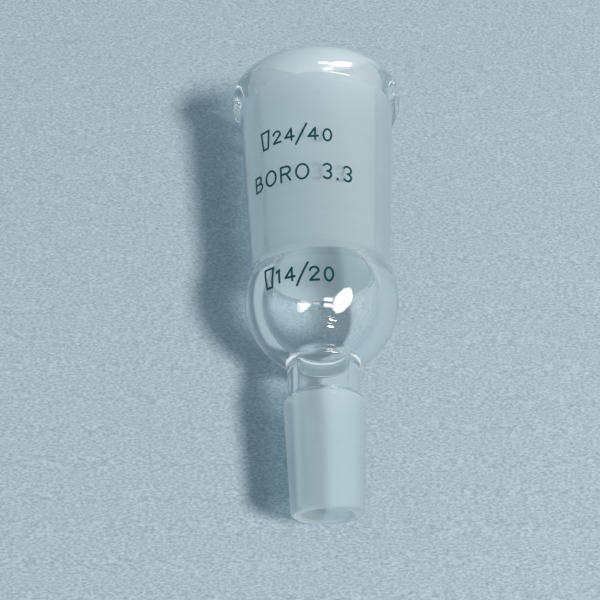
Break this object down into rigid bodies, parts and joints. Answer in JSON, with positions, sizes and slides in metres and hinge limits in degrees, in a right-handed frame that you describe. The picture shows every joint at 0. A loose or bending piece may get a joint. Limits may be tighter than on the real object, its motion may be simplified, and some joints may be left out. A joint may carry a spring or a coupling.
{
  "type": "enlarging adapter",
  "caption": "Clear glass enlarging adapter: a long ground socket with a beaded mouth over a round bulb, a short stem and a smaller ground cone.",
  "frame": {"origin": "centre of the large end of the 14/20 ground cone, on the bore's axis", "axes": "+Z along the bore towards the socket's mouth, -Y towards the printed side"},
  "size_m": [0.0336, 0.0336, 0.0868],
  "materials": {
    "clear_glass": "clear borosilicate, fire-polished",
    "ground_glass": "borosilicate with a fine ground joint surface, frosted",
    "enamel": "fired dark teal enamel print"
  },
  "bodies": {
    "root": {"inner_joint_cone": "ground_glass", "stem_tube": "clear_glass", "neck_seal": "clear_glass", "bulb": "clear_glass", "shoulder_seal": "clear_glass", "socket_body": "ground_glass", "rim_bead": "clear_glass", "cone_size_1_taper": "enamel", "cone_size_2_1": "enamel", "cone_size_3_4": "enamel", "cone_size_4_slash": "enamel", "cone_size_5_2": "enamel", "cone_size_6_0": "enamel", "glass_type_1_b": "enamel", "glass_type_2_o": "enamel", "glass_type_3_r": "enamel", "glass_type_4_o": "enamel", "glass_type_6_3": "enamel", "glass_type_7_point": "enamel", "glass_type_8_3": "enamel", "socket_size_1_taper": "enamel", "socket_size_2_2": "enamel", "socket_size_3_4": "enamel", "socket_size_4_slash": "enamel", "socket_size_5_4": "enamel", "socket_size_6_0": "enamel"}
  },
  "joints": []
}
